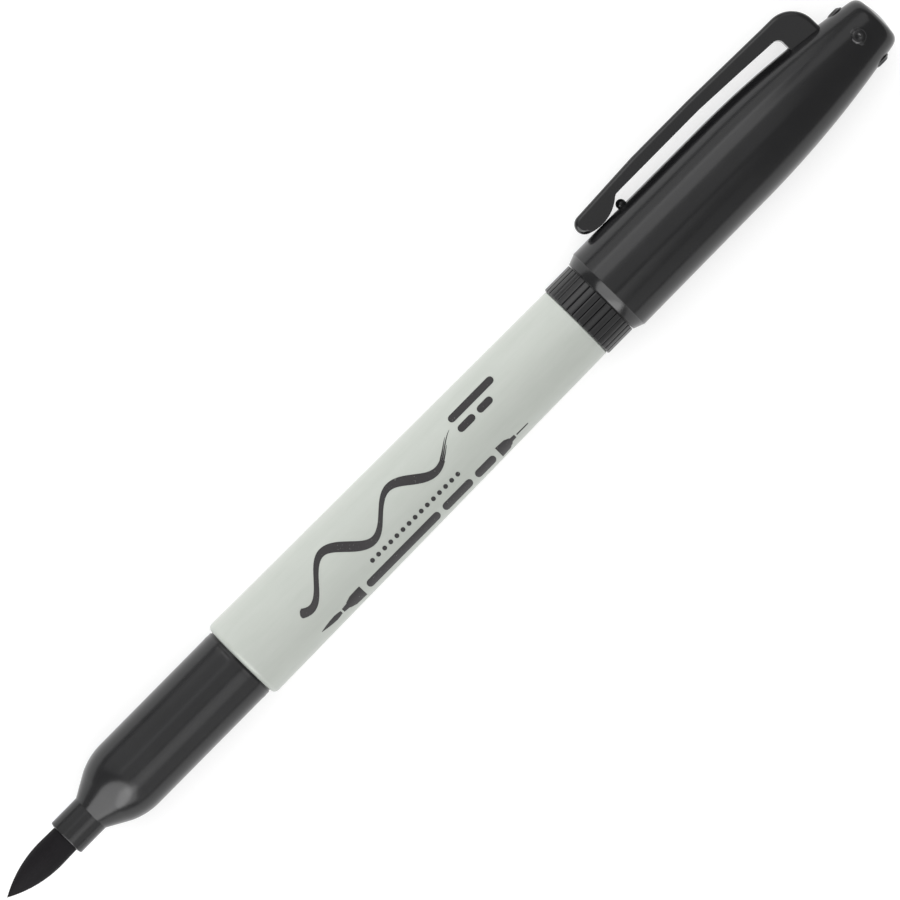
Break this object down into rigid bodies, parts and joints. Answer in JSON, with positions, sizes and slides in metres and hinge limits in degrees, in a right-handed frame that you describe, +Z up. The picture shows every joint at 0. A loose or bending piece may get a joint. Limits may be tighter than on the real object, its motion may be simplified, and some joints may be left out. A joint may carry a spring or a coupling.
{
  "type": "brush pen",
  "caption": "Twin-ended brush pen: a bare brush nib at one end, a fine nib under a push-on cap with a pocket clip at the other.",
  "frame": {"origin": "on the pen's axis, at the flange where a cap on the brush end stops", "axes": "+X along the pen from the brush nib to the closed end of the cap, +Y towards the pocket clip, +Z up with the pen lying down"},
  "size_m": [0.1509, 0.0154, 0.0122],
  "materials": {
    "barrel_plastic": "satin moulded, light warm grey",
    "black_plastic": "satin moulded, black",
    "cap_plastic": "polished moulded, black",
    "inked_fibre": "bonded fibre soaked with black ink",
    "ink_core": "fibre bundle soaked with black ink",
    "clear_film": "thin clear film",
    "holder_plastic": "satin moulded, dark grey",
    "seal_plastic": "soft moulded, grey"
  },
  "bodies": {
    "pen": {"barrel": "barrel_plastic", "brush_section": "black_plastic", "brush_nib": "inked_fibre", "ink_reservoir": "ink_core", "reservoir_wrap": "clear_film", "fine_section": "black_plastic", "fine_nib_holder": "holder_plastic", "fine_nib": "inked_fibre"},
    "cap": {"cap": "cap_plastic", "cap_inner_seal": "seal_plastic"},
    "clip": {"cap_clip": "cap_plastic"}
  },
  "joints": [
    {"name": "cap_slide", "type": "slide", "parent": "pen", "child": "cap", "axis": [1, 0, 0], "range_m": [0, 0.03]},
    {"name": "clip_flex", "type": "hinge", "parent": "cap", "child": "clip", "pos_m": [0.097, 0.00807, 0], "axis": [0, 0, -1], "range_deg": [0, 5], "stiffness_Nm_per_rad": 0.25}
  ]
}
